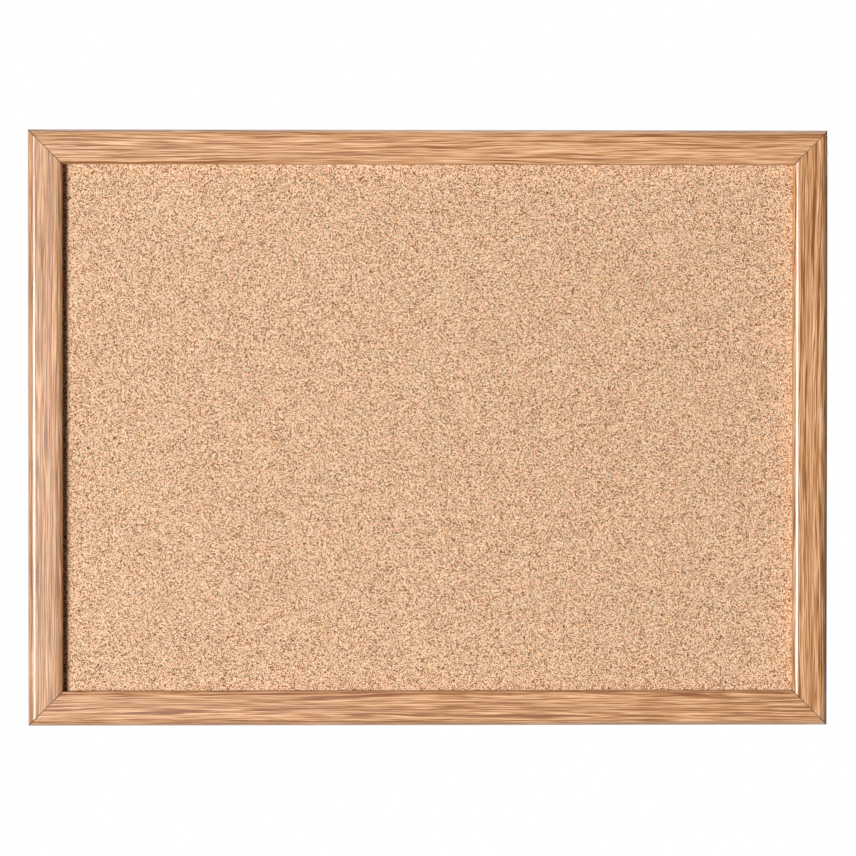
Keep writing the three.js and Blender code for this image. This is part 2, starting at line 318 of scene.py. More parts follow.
def effect(tree, name, **inputs):
    """Places a group in a material and gives it that material's own values."""
    made = tree.nodes.new("ShaderNodeGroup")
    made.node_tree = bpy.data.node_groups[name]
    for label, value in inputs.items():
        feed(tree, made.inputs[label.replace("_", " ").capitalize()], value)
    return made.outputs


def vector(tree, x, y, z):
    return place_node(tree, "CombineXYZ", {0: x, 1: y, 2: z}).outputs[0]


def noise_value(tree, place, detail=2.0, roughness=0.5, distortion=0.0):
    inputs = {"Vector": place, "Scale": 1.0, "Detail": detail, "Roughness": roughness}
    return place_node(tree, "TexNoise", {**inputs, "Distortion": distortion}).outputs[0]


def scaled(tree, place, factor):
    return place_node(tree, "VectorMath", {0: place, 3: factor}, operation="SCALE").outputs[0]


def in_sizes(tree, taken, shift):
    """A group's place, counted in its own size and shifted so that two seeds differ."""
    spot = scaled(tree, taken["Place"], maths(tree, "DIVIDE", 1.0, taken["Size"]))
    return place_node(tree, "VectorMath", {0: spot, 1: shift}, operation="ADD").outputs[0]


# %% [markdown]
# ### Streaks
#
# Grain runs along a rail, so the noise behind it is stretched: its place is divided by a long
# length along the rail and by a short spacing across it. A second, slower noise pushes the streaks
# sideways so that they wander as growth rings do. The group gives three readings: the plain value,
# the thin separate dashes where the value is high, and ring lines, which follow each other at the
# spacing and are pushed apart unevenly.

# %% Build the streaks group
SWAY_ROWS, SWAY_REACH, SWAY_SEED = 9.0, 4.0, 31.7
DASH_LIMITS = (0.545, 0.66)
RING_ROWS, RING_PUSH, RING_SEED = 0.4, 2.4, 5.3
RING_LIMITS = (0.31, 0.47)

group, taken, given = start_group(
    "streaks",
    [
        ("Place", "Vector", None),
        ("Spacing", "Float", 0.003),
        ("Length", "Float", 0.05),
        ("Wander", "Float", 0.001),
        ("Seed", "Float", 0.0),
    ],
    [("Value", "Float"), ("Dash", "Float"), ("Ring", "Float")],
)
axes = place_node(group, "SeparateXYZ", {0: taken["Place"]}).outputs
along = maths(group, "DIVIDE", axes[0], taken["Length"])
rows = maths(group, "DIVIDE", axes[1], maths(group, "MULTIPLY", taken["Spacing"], SWAY_ROWS))
sway_seed = maths(group, "ADD", taken["Seed"], SWAY_SEED)
sway = noise_value(group, vector(group, along, rows, sway_seed), detail=1.5)
sway_reach = maths(group, "MULTIPLY", taken["Wander"], SWAY_REACH)
sway = maths(group, "MULTIPLY", maths(group, "SUBTRACT", sway, 0.5), sway_reach)
across = maths(group, "DIVIDE", maths(group, "ADD", axes[1], sway), taken["Spacing"])
stretched = vector(group, along, across, taken["Seed"])
feed(group, given["Value"], noise_value(group, stretched, detail=2.0, roughness=0.6))
feed(group, given["Dash"], rescale(group, noise_value(group, stretched, detail=0.6), *DASH_LIMITS))
ring_rows = maths(group, "MULTIPLY", across, RING_ROWS)
ring_seed = maths(group, "ADD", taken["Seed"], RING_SEED)
uneven = noise_value(group, vector(group, along, ring_rows, ring_seed), detail=1.0)
turns = swing(group, uneven, RING_PUSH, across)
feed(group, given["Ring"], rescale(group, maths(group, "PINGPONG", turns, 0.5), *RING_LIMITS))
print("Group made:", group.name)

# %% [markdown]
# ### Granules
#
# Cork for boards is ground, glued and cut into sheets, so its face shows the cut granules. Voronoi
# cells are the usual way to draw them: each cell gives one tone at random, and the distance to the
# nearest wall finds the seams between the granules.

# %% Build the granules group
group, taken, given = start_group(
    "granules",
    [("Place", "Vector", None), ("Size", "Float", 0.001), ("Seed", "Float", 0.0)],
    [("Tone", "Float"), ("Kind", "Float"), ("Seam", "Float")],
)
spot = in_sizes(group, taken, vector(group, taken["Seed"], taken["Seed"], taken["Seed"]))
cells = place_node(group, "TexVoronoi", {"Vector": spot, "Scale": 1.0}, feature="F1")
random_tones = place_node(group, "SeparateColor", {0: cells.outputs["Color"]}).outputs
walls = place_node(group, "TexVoronoi", {"Vector": spot, "Scale": 1.0}, feature="DISTANCE_TO_EDGE")
feed(group, given["Tone"], random_tones[0])
feed(group, given["Kind"], random_tones[1])
feed(group, given["Seam"], rescale(group, walls.outputs["Distance"], 0.0, 0.14, 1.0, 0.0))
print("Group made:", group.name)

# %% [markdown]
# ### Fibres
#
# Board and felt are mats of short fibres. Noise that is strongly warped by itself breaks into thin
# curling lines, which look like such a mat and cost little.

# %% Build the fibres group
group, taken, given = start_group(
    "fibres",
    [("Place", "Vector", None), ("Size", "Float", 0.001), ("Seed", "Float", 0.0)],
    [("Fibre", "Float"), ("Cloud", "Float")],
)
spot = in_sizes(group, taken, vector(group, taken["Seed"], 0.0, taken["Seed"]))
curls = noise_value(group, spot, detail=3.0, roughness=0.65, distortion=2.6)
ridge = maths(group, "ABSOLUTE", maths(group, "SUBTRACT", curls, 0.5))
feed(group, given["Fibre"], rescale(group, ridge, 0.0, 0.14, 1.0, 0.0))
feed(group, given["Cloud"], noise_value(group, scaled(group, spot, 0.09), detail=3.0))
print("Group made:", group.name)

# %% [markdown]
# ### Rubbed edges
#
# Edges are where a finish wears first. The Bevel node gives the normal that the surface would have
# with softer edges, and wherever that differs from the real one there is an edge. Noise breaks the
# band up.

# %% Build the rubbed edges group
group, taken, given = start_group(
    "rubbed edges",
    [("Place", "Vector", None), ("Reach", "Float", 0.0005), ("Patch", "Float", 0.004)],
    [("Rubbed", "Float")],
)
softened = place_node(group, "Bevel", {"Radius": taken["Reach"]}, samples=4).outputs[0]
facing = place_node(group, "NewGeometry").outputs["Normal"]
normals = {0: softened, 1: facing}
same = place_node(group, "VectorMath", normals, operation="DOT_PRODUCT").outputs["Value"]
edge = rescale(group, same, 0.995, 0.93, 0.0, 1.0)
spot = scaled(group, taken["Place"], maths(group, "DIVIDE", 1.0, taken["Patch"]))
patches = rescale(group, noise_value(group, spot, detail=3.0, roughness=0.6), 0.35, 0.65)
feed(group, given["Rubbed"], maths(group, "MULTIPLY", edge, patches))
print("Group made:", group.name)

# %% [markdown]
# ### Handling
#
# Fingers, wiping and dust leave wide faint clouds on every surface. They hardly change its colour,
# but they change how sharply it shines.

# %% Build the handling group
group, taken, given = start_group(
    "handling",
    [("Place", "Vector", None), ("Size", "Float", 0.05), ("Seed", "Float", 0.0)],
    [("Smudge", "Float"), ("Speck", "Float")],
)
spot = in_sizes(group, taken, vector(group, taken["Seed"], taken["Seed"], 0.0))
feed(group, given["Smudge"], noise_value(group, spot, detail=4.0, roughness=0.6, distortion=0.6))
specks = noise_value(group, scaled(group, spot, 40.0), detail=1.0)
feed(group, given["Speck"], rescale(group, specks, 0.70, 0.78))
print("Group made:", group.name)

# %% Start a material
def start_material(name):
    """A new material with one Principled shader, ready for its texture nodes."""
    finish = bpy.data.materials.new(name)
    finish.use_nodes = True
    tree = finish.node_tree
    tree.nodes.clear()
    shader = place_node(tree, "BsdfPrincipled")
    place_node(tree, "OutputMaterial", {"Surface": shader.outputs[0]})
    return finish, tree, shader.inputs


def object_place(tree):
    return place_node(tree, "TexCoord").outputs["Object"]


def mottle(tree, cloud, first, second):
    """Two tones of a finish, mixed by the middle values of a slow cloud."""
    return blend(tree, rescale(tree, cloud, 0.3, 0.7), first, second)


def raise_bumps(tree, shader, height, depth):
    """Bumps that stand up by the height value times a depth in metres."""
    bump = place_node(tree, "Bump", {"Strength": 1.0, "Distance": depth, "Height": height})
    feed(tree, shader["Normal"], bump.outputs[0])


# %% [markdown]
# ## Printed oak foil
#
# The rails are fibreboard wrapped in a printed foil: the grain is too even for solid oak, it
# follows every rail exactly and it goes round the roundings without a break. The print is built up
# in layers: wide pale and dark bands, the growth rings, the thin dark lines of late wood and the
# fine pores. A slow drift bends all of them together. Each rail has its own strength, tone and fade
# of the print, which its mesh carries as attributes. The tone is set to how bright each rail looks,
# so it paints light and shade by side: the top rail is lighter than the bottom. The fade towards a
# pale pink is a painted sheen, strongest on the left rail. The foil has a satin lacquer, so a soft
# base shine and a sharper coat lie over each other, and the pores are pressed in by a few
# hundredths of a millimetre.
#
# The layers follow a map in metres that is laid along each rail and round its section, which is how
# the foil is wrapped. Near a mitre the cut edge of the foil shows dark.

# %% Mix the oak foil
DRIFT_LENGTH, DRIFT_SPACING, DRIFT_REACH = 0.20, 0.011, 0.009
RING_SHARE, LATE_SHARE = 0.40, 0.44
BAND_SHARE, FINE_SHARE = 0.18, 3.0
CHIP_REACH, CUT_REACH = 0.0007, 0.0003

foil, tree, shader = start_material("printed oak foil")
grain_place = place_node(tree, "UVMap", uv_map="foil").outputs[0]
grain_along, grain_across = place_node(tree, "SeparateXYZ", {0: grain_place}).outputs[:2]
slow_along = maths(tree, "DIVIDE", grain_along, DRIFT_LENGTH)
slow_across = maths(tree, "DIVIDE", grain_across, DRIFT_SPACING)
drift = noise_value(tree, vector(tree, slow_along, slow_across, 4.2), detail=2.0)
drifted = vector(tree, grain_along, swing(tree, drift, DRIFT_REACH, grain_across), 0.0)
bands = effect(tree, "streaks", place=drifted, spacing=0.0085, length=0.19, wander=0.0005, seed=3.1)[0]
rings = effect(tree, "streaks", place=drifted, spacing=0.0030, length=0.220, wander=0.0002, seed=21.3)
late = effect(tree, "streaks", place=drifted, spacing=0.0012, length=0.140, wander=0.0002, seed=7.7)
pores = effect(tree, "streaks", place=drifted, spacing=0.00066, length=0.035, wander=0.0001, seed=12.9)
# Each rail's tone is set to how bright that rail looks, so it paints light and shade by side: the top
# rail is lighter than the bottom.
print_tone = place_node(tree, "Attribute", attribute_name="print_tone").outputs["Fac"]
tone = swing(tree, bands, BAND_SHARE, print_tone)
strength = place_node(tree, "Attribute", attribute_name="print_strength").outputs["Fac"]
broken = rescale(tree, late["Value"], 0.40, 0.58, 0.25, 1.0)
dark_lines = maths(tree, "MULTIPLY", rings["Ring"], maths(tree, "MULTIPLY", broken, RING_SHARE))
dark_lines = maths(tree, "MULTIPLY_ADD", late["Dash"], LATE_SHARE, dark_lines)
fine = maths(tree, "MULTIPLY", maths(tree, "SUBTRACT", pores["Value"], 0.5), FINE_SHARE)
lines = maths(tree, "SUBTRACT", fine, dark_lines)
tone = maths(tree, "MULTIPLY_ADD", lines, strength, tone)
oak = colour_steps(
    tree,
    tone,
    [
        (0.00, colour(0.240, 0.070, 0.008)),
        (0.25, colour(0.425, 0.166, 0.040)),
        (0.50, colour(0.612, 0.299, 0.120)),
        (0.75, colour(0.795, 0.440, 0.228)),
        (1.00, colour(0.920, 0.550, 0.325)),
    ],
)
rubbed = effect(tree, "rubbed edges", place=object_place(tree), reach=0.0006, patch=0.012)[0]
oak = tint(tree, oak, rubbed, 0.25, colour(0.66, 0.42, 0.25))
# Painted sheen: each rail's fade towards a pale pink stands for the hazy sheen, strongest on the left
# rail.
fade = place_node(tree, "Attribute", attribute_name="print_fade").outputs["Fac"]
oak = blend(tree, fade, oak, colour(0.72, 0.53, 0.39))
mitre = place_node(tree, "Attribute", attribute_name="mitre_distance").outputs["Fac"]
chips = noise_value(tree, scaled(tree, grain_place, 900.0), detail=2.0)
cut_reach = maths(tree, "MULTIPLY_ADD", chips, CHIP_REACH, CUT_REACH)
cut = maths(tree, "SUBTRACT", 1.0, maths(tree, "DIVIDE", mitre, cut_reach), clamp=True)
cut = maths(tree, "MULTIPLY", cut, 1.6, clamp=True)
oak = tint(tree, oak, cut, 0.95, colour(0.085, 0.028, 0.008))
smudge = effect(tree, "handling", place=object_place(tree), size=0.06, seed=2.0)[0]
feed(tree, shader["Base Color"], oak)
shine = rescale(tree, smudge, 0.3, 0.7, 0.40, 0.50)
feed(tree, shader["Roughness"], maths(tree, "MULTIPLY_ADD", cut, 0.4, shine))
feed(tree, shader["Coat Weight"], maths(tree, "MULTIPLY_ADD", cut, -0.48, 0.48))
shader["IOR"].default_value = 1.52
shader["Coat Roughness"].default_value = 0.15
pressed = maths(tree, "MULTIPLY_ADD", dark_lines, -0.8, pores["Value"])
raise_bumps(tree, shader, pressed, 0.00004)
print("Finish mixed:", foil.name)

# %% [markdown]
# ## Bare fibreboard
#
# Behind the foil the moulding is raw medium-density fibreboard. It shows in the rebate, on the back
# and in every slot: a matt, warm grey-brown mat of fine fibres.

# %% Mix the bare fibreboard
fibreboard, tree, shader = start_material("bare fibreboard")
here = object_place(tree)
fibre, cloud = effect(tree, "fibres", place=here, size=0.0007, seed=4.0)
smudge, speck = effect(tree, "handling", place=here, size=0.08, seed=7.0)
base = mottle(tree, cloud, colour(0.400, 0.255, 0.145), colour(0.500, 0.335, 0.200))
base = tint(tree, base, fibre, 0.35, colour(0.60, 0.43, 0.27))
base = tint(tree, base, speck, 0.5, colour(0.21, 0.125, 0.07))
feed(tree, shader["Base Color"], base)
feed(tree, shader["Roughness"], rescale(tree, smudge, 0.3, 0.7, 0.78, 0.92))
raise_bumps(tree, shader, fibre, 0.00006)
print("Finish mixed:", fibreboard.name)

# %% [markdown]
# ## Cork
#
# The cork is the fine grade: most granules are well under a millimetre. Two sizes of granules are
# laid over each other and give the main tones, and rare ones are dark bark or pale cream. The seams
# between the granules are painted a little darker, as painted shade for their crevices. A very slow
# noise stands for the slightly uneven mix. The face is sanded but open, so it is matt, with a faint
# sheen at a flat angle.

# %% Mix the cork
cork, tree, shader = start_material("fine cork")
here = object_place(tree)
small = effect(tree, "granules", place=here, size=0.00056, seed=3.0)
large = effect(tree, "granules", place=here, size=0.00100, seed=11.0)
mix_cloud = effect(tree, "handling", place=here, size=0.011, seed=5.0)[0]
tone = swing(tree, small["Tone"], 1.50, 0.53)
tone = swing(tree, large["Tone"], 0.30, tone)
tone = swing(tree, mix_cloud, 0.10, tone)
flesh = colour_steps(
    tree,
    tone,
    [
        (0.00, colour(0.160, 0.040, 0.006)),
        (0.12, colour(0.350, 0.150, 0.056)),
        (0.24, colour(0.690, 0.330, 0.160)),
        (0.38, colour(0.950, 0.522, 0.300)),
        (0.60, colour(1.000, 0.628, 0.394)),
        (1.00, colour(1.000, 0.745, 0.490)),
    ],
)
# Painted shade: the seams between granules are darkened to stand for the shade in their crevices.
flesh = tint(tree, flesh, small["Seam"], 0.22, colour(0.46, 0.20, 0.075))
bark = maths(tree, "GREATER_THAN", small["Kind"], 0.94)
flesh = tint(tree, flesh, bark, 0.85, colour(0.20, 0.065, 0.014))
dark_bark = maths(tree, "GREATER_THAN", large["Kind"], 0.980)
flesh = tint(tree, flesh, dark_bark, 0.90, colour(0.090, 0.032, 0.010))
pale = maths(tree, "LESS_THAN", large["Kind"], 0.045)
flesh = tint(tree, flesh, pale, 0.75, colour(1.00, 0.88, 0.66))
cream = maths(tree, "LESS_THAN", small["Kind"], 0.045)
flesh = tint(tree, flesh, cream, 0.8, colour(1.00, 0.84, 0.62))
feed(tree, shader["Base Color"], flesh)
feed(tree, shader["Roughness"], rescale(tree, small["Tone"], 0.0, 1.0, 0.52, 0.66))
shader["Specular IOR Level"].default_value = 0.15
grit = maths(tree, "SUBTRACT", small["Tone"], maths(tree, "MULTIPLY", small["Seam"], 0.8))
raise_bumps(tree, shader, grit, 0.00008)
print("Finish mixed:", cork.name)

# %% [markdown]
# ## Softboard and hardboard
#
# The core is softboard, pressed from loose wood fibre so that a pin goes in and holds. The back is
# hardboard, the same fibre pressed hot until it is thin, dark and smooth. One group of fibres
# serves both at different sizes.

# %% Mix the softboard
softboard, tree, shader = start_material("softboard")
here = object_place(tree)
fibre, cloud = effect(tree, "fibres", place=here, size=0.0022, seed=9.0)
base = mottle(tree, cloud, colour(0.50, 0.40, 0.27), colour(0.62, 0.52, 0.38))
base = tint(tree, base, fibre, 0.4, colour(0.74, 0.66, 0.52))
feed(tree, shader["Base Color"], base)
feed(tree, shader["Roughness"], rescale(tree, cloud, 0.2, 0.8, 0.86, 0.98))
raise_bumps(tree, shader, fibre, 0.00025)
print("Finish mixed:", softboard.name)

# %% Mix the hardboard
hardboard, tree, shader = start_material("hardboard")
here = object_place(tree)
fibre, cloud = effect(tree, "fibres", place=here, size=0.0015, seed=1.0)
smudge, speck = effect(tree, "handling", place=here, size=0.11, seed=3.0)
base = mottle(tree, cloud, colour(0.165, 0.083, 0.038), colour(0.225, 0.122, 0.060))
base = tint(tree, base, fibre, 0.30, colour(0.34, 0.205, 0.110))
base = blend(tree, rescale(tree, smudge, 0.52, 0.75, 0.0, 0.22), base, colour(0.30, 0.21, 0.14))
base = tint(tree, base, speck, 0.7, colour(0.07, 0.035, 0.018))
rubbed = effect(tree, "rubbed edges", place=here, reach=0.0008, patch=0.006)[0]
base = tint(tree, base, rubbed, 0.5, colour(0.40, 0.27, 0.16))
feed(tree, shader["Base Color"], base)
feed(tree, shader["Roughness"], rescale(tree, smudge, 0.3, 0.7, 0.46, 0.66))
shader["Specular IOR Level"].default_value = 0.3
raise_bumps(tree, shader, fibre, 0.00003)
print("Finish mixed:", hardboard.name)

# %% [markdown]
# ## Plated steel
#
# The points and nails are dull zinc-plated strip and the hangers are brighter nickel. Both are the
# same recipe: drawn lines that change the shine, faint clouds in the plating and paler rubbed
# edges.

# %% Mix the two platings
def plated_steel(name, dark, bright, worn, shine):
    """Plated steel between two tones, a third where it is rubbed, and a pair of roughness limits."""
    finish, tree, shader = start_material(name)
    here = object_place(tree)
    drawn = {"spacing": 0.00022, "length": 0.006, "wander": 0.0001, "seed": 6.0}
    lines = effect(tree, "streaks", place=here, **drawn)[0]
    smudge, speck = effect(tree, "handling", place=here, size=0.004, seed=1.0)
    rubbed = effect(tree, "rubbed edges", place=here, reach=0.0003, patch=0.0016)[0]
    base = mottle(tree, smudge, dark, bright)
    base = tint(tree, base, speck, 0.6, colour(0.16, 0.14, 0.12))
    base = tint(tree, base, rubbed, 0.7, worn)
    feed(tree, shader["Base Color"], base)
    shader["Metallic"].default_value = 1.0
    clouded = maths(tree, "MULTIPLY_ADD", lines, 0.35, smudge)
    feed(tree, shader["Roughness"], rescale(tree, clouded, 0.4, 1.0, shine[0], shine[1]))
    raise_bumps(tree, shader, lines, 0.000004)
    print("Finish mixed:", finish.name)
    return finish


zinc = plated_steel(
    "dull zinc",
    dark=colour(0.29, 0.30, 0.32),
    bright=colour(0.42, 0.43, 0.45),
    worn=colour(0.58, 0.59, 0.60),
    shine=(0.34, 0.54),
)
nickel = plated_steel(
    "bright nickel",
    dark=colour(0.54, 0.51, 0.46),
    bright=colour(0.66, 0.63, 0.58),
    worn=colour(0.80, 0.78, 0.74),
    shine=(0.16, 0.34),
)

# %% [markdown]
# ## Felt
#
# The bumpers are cut from dense wool felt. It has no shine of its own, so sheen stands for the
# loose fibres that catch the light at the rim.

# %% Mix the felt
felt, tree, shader = start_material("wool felt")
here = object_place(tree)
fibre, cloud = effect(tree, "fibres", place=here, size=0.00045, seed=2.0)
base = mottle(tree, cloud, colour(0.052, 0.045, 0.040), colour(0.085, 0.075, 0.066))
base = tint(tree, base, fibre, 0.6, colour(0.17, 0.155, 0.14))
feed(tree, shader["Base Color"], base)
feed(tree, shader["Roughness"], rescale(tree, cloud, 0.2, 0.8, 0.90, 1.0))
shader["Sheen Weight"].default_value = 0.35
shader["Sheen Roughness"].default_value = 0.5
raise_bumps(tree, shader, fibre, 0.00018)
print("Finish mixed:", felt.name)

# %% [markdown]
# ## Making meshes
#
# Nearly every piece of the board is one outline carried along a path: the moulding along its rail,
# the wire round its ring, the strip through its fold, a screw about its axis. So one function skins
# a row of rings of points. Holes and slots are cut with Boolean modifiers, as a drill or a saw
# would, and edges are broken with a small bevel.

# %% Skin a row of rings
def show(name, mesh):
    """Puts a mesh into the scene as a piece."""
    piece = bpy.data.objects.new(name, mesh)
    bpy.context.scene.collection.objects.link(piece)
    return piece


def skin(name, rings):
    """A closed mesh over a row of rings with equal counts of points."""
    count = len(rings[0])
    faces = []
    for i in range(len(rings) - 1):
        here, there = i * count, (i + 1) * count
        for k in range(count):
            after = (k + 1) % count
            faces.append((here + k, here + after, there + after, there + k))
    faces.append(tuple(reversed(range(count))))
    faces.append(tuple(range((len(rings) - 1) * count, len(rings) * count)))
    mesh = bpy.data.meshes.new(name)
    mesh.from_pydata([tuple(point) for ring in rings for point in ring], [], faces)
    clean = bmesh.new()
    clean.from_mesh(mesh)
    bmesh.ops.remove_doubles(clean, verts=clean.verts, dist=0.002 * MM)
    bmesh.ops.recalc_face_normals(clean, faces=clean.faces)
    clean.to_mesh(mesh)
    clean.free()
    return show(name, mesh)


def arc(centre, radii, start, end, steps):
    """Points on part of an ellipse, from one angle to another in degrees."""
    angles = np.radians(np.linspace(start, end, steps + 1))
    return [(centre[0] + radii[0] * math.cos(a), centre[1] + radii[1] * math.sin(a)) for a in angles]


def turned(name, profile, steps):
    """A mesh turned about the Y axis from a profile of (radius, height along Y)."""
    angles = np.linspace(0, 2 * math.pi, steps, endpoint=False)
    return skin(name, [[(r * math.cos(a), y, r * math.sin(a)) for a in angles] for r, y in profile])


# %% Cut, bevel and smooth a piece
def settle(piece):
    """Makes a piece's modifiers part of its mesh."""
    graph = bpy.context.evaluated_depsgraph_get()
    finished = bpy.data.meshes.new_from_object(piece.evaluated_get(graph))
    rough = piece.data
    piece.modifiers.clear()
    piece.data = finished
    bpy.data.meshes.remove(rough)
    finished.name = piece.name


def cut_away(piece, tools):
    """Cuts the tools out of a piece, one after the other, and throws them away."""
    for tool in tools:
        cutter = piece.modifiers.new("cut", "BOOLEAN")
        cutter.operation = "DIFFERENCE"
        cutter.solver = "EXACT"
        cutter.object = tool
    settle(piece)
    for tool in tools:
        bpy.data.meshes.remove(tool.data)


def break_edges(piece, width, angle):
    """Bevels every edge that is sharper than an angle."""
    bevel = piece.modifiers.new("bevel", "BEVEL")
    bevel.width = width
    bevel.segments = 2
    bevel.limit_method = "ANGLE"
    bevel.angle_limit = math.radians(angle)
    settle(piece)


def smooth(piece, angle=32):
    """Shades a piece smoothly, except across edges that are sharper than an angle."""
    piece.data.shade_smooth()
    piece.data.set_sharp_from_angle(angle=math.radians(angle))
    weights = piece.modifiers.new("weights", "WEIGHTED_NORMAL")
    weights.keep_sharp = True
    settle(piece)


def move_points(piece, matrix):
    piece.data.transform(matrix)
    return piece


def install(piece, node, finishes, body="board"):
    """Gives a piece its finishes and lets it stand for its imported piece."""
    for finish in finishes:
        piece.data.materials.append(finish)
    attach(piece, body)
    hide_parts(node)
    print(f"{piece.name}: {len(piece.data.polygons)} faces")


# %% [markdown]
# ## Corner nails
#
# A mitred frame is held by V-nails, driven in from the back across each joint. A V-nail is a bent
# strip: its two legs open inwards, its ends curl outwards a little so that it draws the joint
# together, and its lower edge is ground sharp. The same outline, slightly wider, cuts the slots in
# the rails.

# %% Draw the plan of a corner nail
NAIL_LEG = 4 * MM
NAIL_STRIP = 0.5 * MM
NAIL_ANGLE = math.radians(35)
NAIL_CURL = 0.16 * MM
NAIL_BEND = 0.45 * MM
NAIL_REACHES = ((1.0, 1.0), (0.93, 0.35), (0.84, 0.0))


def nail_plan(strip, spare=0.0):
    """The outline of a corner nail seen from the back: along X and Z, with its ridge at the origin."""
    leg = Vector((math.sin(NAIL_ANGLE), math.cos(NAIL_ANGLE)))
    side = [leg * share * NAIL_LEG + Vector((curl * NAIL_CURL, 0)) for share, curl in NAIL_REACHES]
    side[0] += leg * spare
    half = math.degrees(NAIL_ANGLE)
    bend = arc((0, NAIL_BEND / math.sin(NAIL_ANGLE)), (NAIL_BEND, NAIL_BEND), -half, half - 180, 8)
    line = side + [Vector(p) for p in bend] + [Vector((-p.x, p.y)) for p in reversed(side)]
    left, right = [], []
    for i, point in enumerate(line):
        ahead = line[min(i + 1, len(line) - 1)] - line[max(i - 1, 0)]
        normal = Vector((-ahead.y, ahead.x)).normalized() * strip / 2
        left.append(point + normal)
        right.append(point - normal)
    return left + right[::-1]


def nail_body(name, levels):
    """A nail's outline carried along Y, with levels of (height, strip thickness, spare length)."""
    return skin(name, [[(p.x, y, p.y) for p in nail_plan(strip, spare)] for y, strip, spare in levels])


# %% Make the eight nails and the tools for their slots
NAIL_SINK = 0.3 * MM
NAIL_HEIGHT = 10 * MM
NAIL_PLAY = 0.06 * MM
NAIL_BURR = 0.08 * MM
NAIL_DRAW = 0.06 * MM
NAIL_GRIND = 1.2 * MM
NAIL_PLACES = {"outer": 0.3, "inner": 0.7}
CUT_START = 1 * MM
nail_top = -NAIL_SINK
nail_tip = nail_top - NAIL_HEIGHT
nail_levels = [
    (nail_top, 0.72 * NAIL_STRIP, -NAIL_DRAW),
    (nail_top - NAIL_BURR, NAIL_STRIP, 0.0),
    (nail_tip + NAIL_GRIND, NAIL_STRIP, 0.0),
    (nail_tip, 0.12 * NAIL_STRIP, 0.0),
]
nail_seats = []
for up, rise in (("top", 1), ("bottom", -1)):
    for side, right in (("left", -1), ("right", 1)):
        for layer, share in NAIL_PLACES.items():
            node = f"{up}_{side}_{layer}_corner_nail"
            x = right * (board_right - share * land)
            z = board_middle + rise * (board_height / 2 - share * land)
            seat = Matrix.Translation((x, frame_back, z))
            seat = seat @ Matrix.Rotation(math.atan2(-right, -rise), 4, "Y")
            nail_seats.append((right, rise, seat))
            nail = move_points(nail_body(node + "_steel", nail_levels), seat)
            smooth(nail)
            install(nail, node, [zinc])


def nail_tools(right=None, rise=None):
    """Slot cutters for every nail whose corner lies on that side."""
    wide = NAIL_STRIP + 2 * NAIL_PLAY
    levels = [(CUT_START, wide, NAIL_PLAY), (nail_tip - NAIL_PLAY, wide, NAIL_PLAY)]
    chosen = [seat for r, z, seat in nail_seats if r == right or z == rise]
    return [move_points(nail_body("nail_tool", levels), seat) for seat in chosen]


# %% [markdown]
# ## Rails
#
# Each rail is the moulding's section carried from mitre to mitre. The section has the foil's run
# first: it starts a few millimetres in on the back, goes round the outer side and over the front,
# and ends under the lip that holds the cork. The bare fibreboard closes it. At a mitre the foil's
# edge is broken by nearly a fifth of a millimetre, which gives the joint its thin dark line.

# %% Draw the moulding's section
OUTER_ROUNDING = (6 * MM, 7.1 * MM)
INNER_ROUNDING = (5 * MM, 3.0 * MM)
SEAT_GAP = 0.3 * MM
LIP_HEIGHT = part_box("cork_sheet")[0].y - frame_front - SEAT_GAP
BACK_ARRIS = 0.6 * MM
LIP_ARRIS = 0.25 * MM
FOIL_TURN = 5 * MM
FOIL_STEP = 0.1 * MM
rebate = rail_depth - LIP_HEIGHT

foil_run = (
    [(FOIL_TURN, 0.0)]
    + arc((BACK_ARRIS, BACK_ARRIS), (BACK_ARRIS, BACK_ARRIS), 270, 180, 4)
    + arc((OUTER_ROUNDING[0], rail_depth - OUTER_ROUNDING[1]), OUTER_ROUNDING, 180, 90, 20)
    + arc((rail_width - INNER_ROUNDING[0], rail_depth - INNER_ROUNDING[1]), INNER_ROUNDING, 90, 0, 16)
    + arc((rail_width - LIP_ARRIS, rebate + LIP_ARRIS), (LIP_ARRIS, LIP_ARRIS), 0, -90, 3)
)
bare_run = [(land, rebate), (land, FOIL_STEP), (FOIL_TURN + 0.02 * MM, FOIL_STEP)]
section = foil_run + bare_run
print(f"The section has {len(section)} points, {len(foil_run)} of them foiled.")


# %% Carry the section along a rail
MITRE_SETBACK = 0.008 * MM
MITRE_BREAK = 0.18 * MM
RAIL_ROWS = 13


def shrunk(outline, by):
    """The outline moved into the wood by a small distance."""
    result = []
    for i, (u, d) in enumerate(outline):
        before, after = outline[i - 1], outline[(i + 1) % len(outline)]
        normal = Vector((after[1] - before[1], before[0] - after[0])).normalized()
        result.append((u + normal.x * by, d + normal.y * by))
    return result


def rail_body(name, length):
    """A mitred bar along X, with its outer side at Z = 0 and its back at Y = 0."""
    inner = shrunk(section, MITRE_BREAK)
    rings = []
    for share in np.linspace(-1, 1, RAIL_ROWS):
        rounds = [(section, MITRE_BREAK), (inner, 0.0)] if abs(share) == 1 else [(section, 0.0)]
        if share < 0:
            rounds = rounds[::-1]
        for outline, back in rounds:
            half = length / 2 - MITRE_SETBACK - back
            rings.append([(share * (half - u), -d, -u) for u, d in outline])
    return skin(name, rings)


# %% [markdown]
# The foil's map is laid once the slots are cut: every point of a foiled face is brought onto the
# nearest place of the foil's run, and how far along the run that is becomes the second coordinate.
# Each rail takes its own stretch of the print, and its strength, tone and fade in the order top,
# right, bottom, left. The tones paint the top rail lighter than the bottom, and the fades paint a
# pale sheen, strongest on the left rail. The narrow faces of the broken edges at a mitre count as
# foil too.

